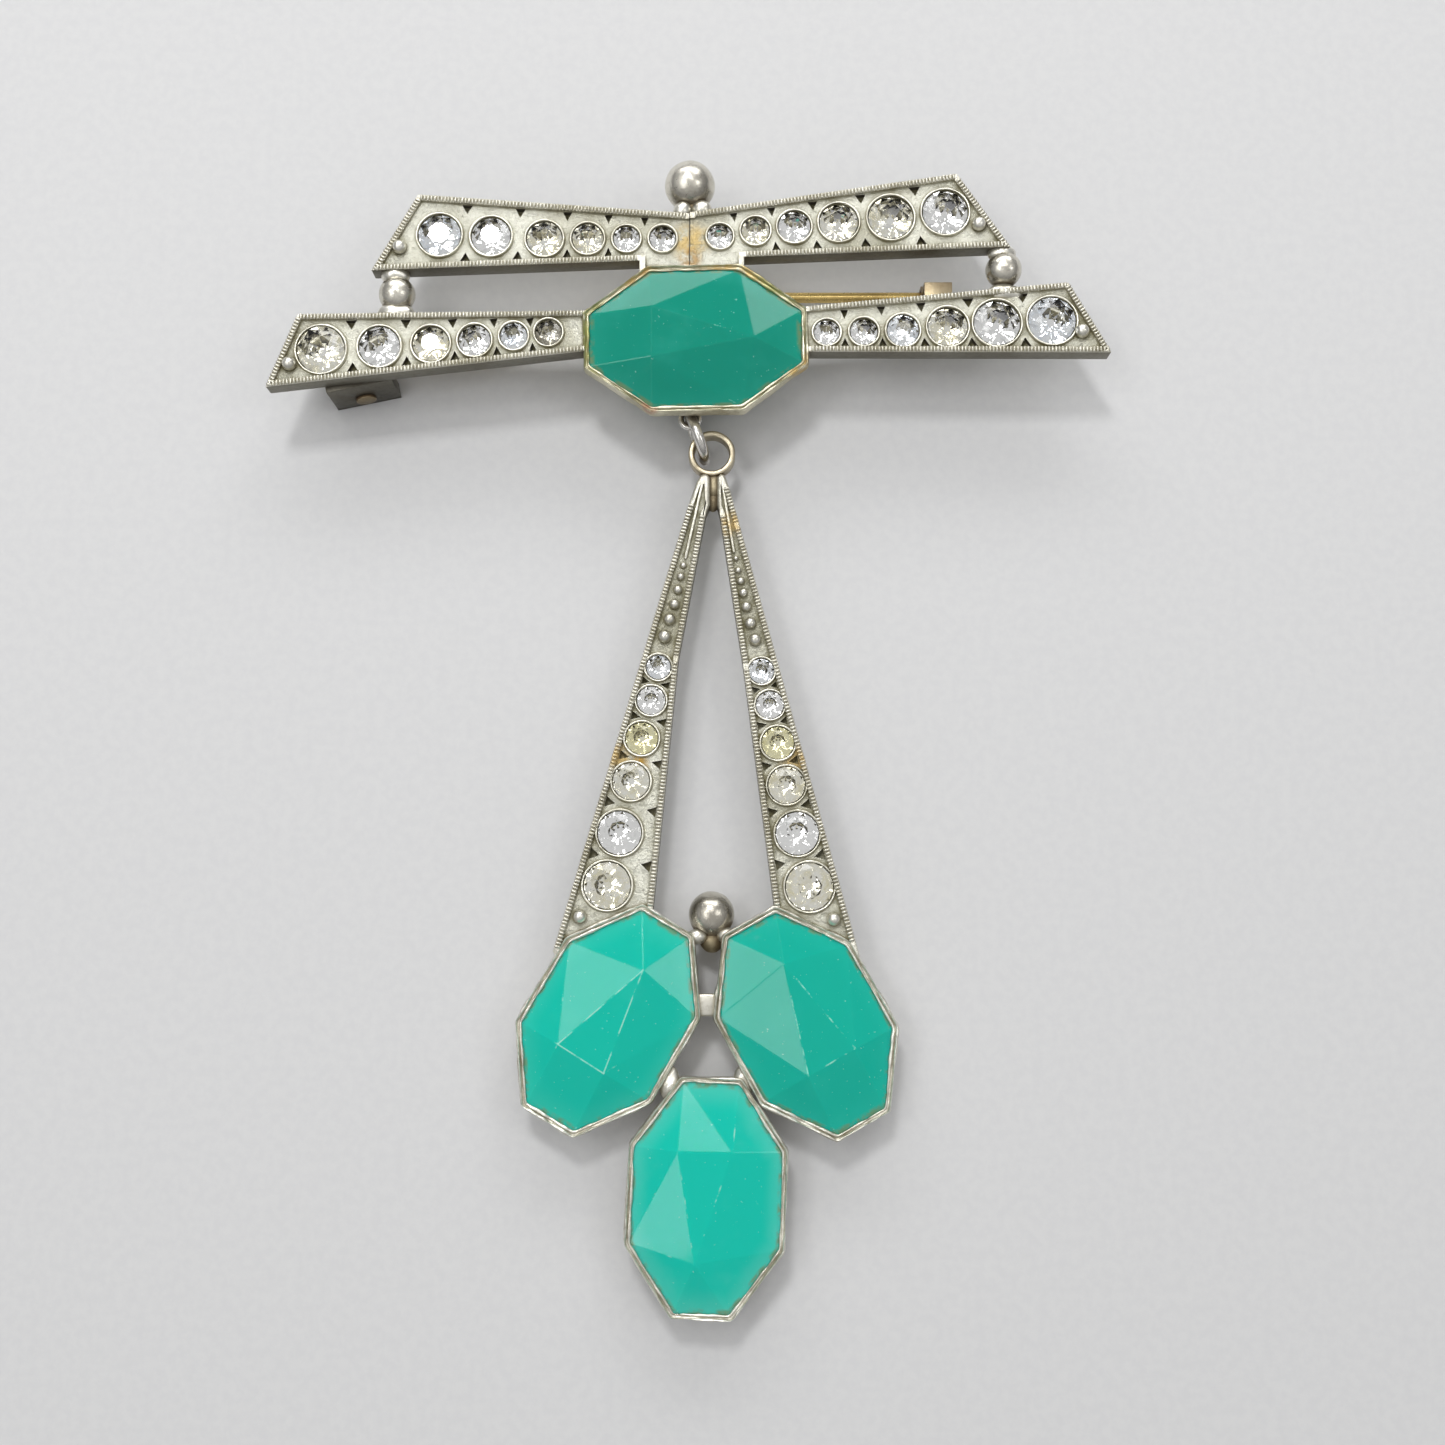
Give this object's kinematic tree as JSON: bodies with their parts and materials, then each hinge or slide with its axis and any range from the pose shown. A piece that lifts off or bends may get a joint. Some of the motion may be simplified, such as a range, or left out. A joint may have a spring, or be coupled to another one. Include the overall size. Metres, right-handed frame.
{
  "type": "brooch",
  "caption": "Bar brooch of white metal with tapered paste-set arms and green glass octagons, a pin fitting on the back, and a drop that hangs on a jump ring.",
  "frame": {"origin": "middle of the whole brooch, on the surface that it lies on", "axes": "+X to the viewer's right, +Y from the drop towards the finial ball, +Z out of the face; the brooch lies on its back"},
  "size_m": [0.0658, 0.0894, 0.0069],
  "materials": {
    "white_metal": "worn white metal plating with yellow-brown tarnish in the recesses",
    "brass": "drawn brass wire, slightly dulled",
    "green_glass": "translucent green glass, faceted and polished",
    "paste_glass": "clear foil-backed pastes, some yellowed"
  },
  "bodies": {
    "bar": {"catch": "white_metal", "centre_setting": "white_metal", "centre_stone": "green_glass", "finial_ball": "white_metal", "hinge_block": "white_metal", "hinge_rivet": "brass", "left_link_ball": "white_metal", "lower_left_arm": "white_metal", "lower_left_paste_1": "paste_glass", "lower_left_paste_2": "paste_glass", "lower_left_paste_3": "paste_glass", "lower_left_paste_4": "paste_glass", "lower_left_paste_5": "paste_glass", "lower_left_paste_6": "paste_glass", "lower_right_arm": "white_metal", "lower_right_paste_1": "paste_glass", "lower_right_paste_2": "paste_glass", "lower_right_paste_3": "paste_glass", "lower_right_paste_4": "paste_glass", "lower_right_paste_5": "paste_glass", "lower_right_paste_6": "paste_glass", "right_link_ball": "white_metal", "upper_left_arm": "white_metal", "upper_left_paste_1": "paste_glass", "upper_left_paste_2": "paste_glass", "upper_left_paste_3": "paste_glass", "upper_left_paste_4": "paste_glass", "upper_left_paste_5": "paste_glass", "upper_left_paste_6": "paste_glass", "upper_right_arm": "white_metal", "upper_right_paste_1": "paste_glass", "upper_right_paste_2": "paste_glass", "upper_right_paste_3": "paste_glass", "upper_right_paste_4": "paste_glass", "upper_right_paste_5": "paste_glass", "upper_right_paste_6": "paste_glass"},
    "pin": {"pin_stem": "brass"},
    "ring": {"jump_ring": "white_metal"},
    "drop": {"drop_ball": "white_metal", "drop_bottom_setting": "white_metal", "drop_bottom_stone": "green_glass", "drop_left_arm": "white_metal", "drop_left_paste_1": "paste_glass", "drop_left_paste_2": "paste_glass", "drop_left_paste_3": "paste_glass", "drop_left_paste_4": "paste_glass", "drop_left_paste_5": "paste_glass", "drop_left_paste_6": "paste_glass", "drop_left_setting": "white_metal", "drop_left_stone": "green_glass", "drop_right_arm": "white_metal", "drop_right_paste_1": "paste_glass", "drop_right_paste_2": "paste_glass", "drop_right_paste_3": "paste_glass", "drop_right_paste_4": "paste_glass", "drop_right_paste_5": "paste_glass", "drop_right_paste_6": "paste_glass", "drop_right_setting": "white_metal", "drop_right_stone": "green_glass", "drop_ring": "white_metal"}
  },
  "joints": [
    {"name": "pin_hinge", "type": "hinge", "parent": "bar", "child": "pin", "pos_m": [-0.0264, 0.0283, 0.0015], "axis": [-0.206, 0.9785, 0], "range_deg": [0, 80]},
    {"name": "ring_swing", "type": "hinge", "parent": "bar", "child": "ring", "pos_m": [0.00062, 0.02255, 0.00255], "axis": [0.9397, 0.342, 0], "range_deg": [-45, 40]},
    {"name": "drop_swing", "type": "hinge", "parent": "ring", "child": "drop", "pos_m": [0.00122, 0.02091, 0.00255], "axis": [0, 0, 1], "range_deg": [-20, 20]}
  ]
}
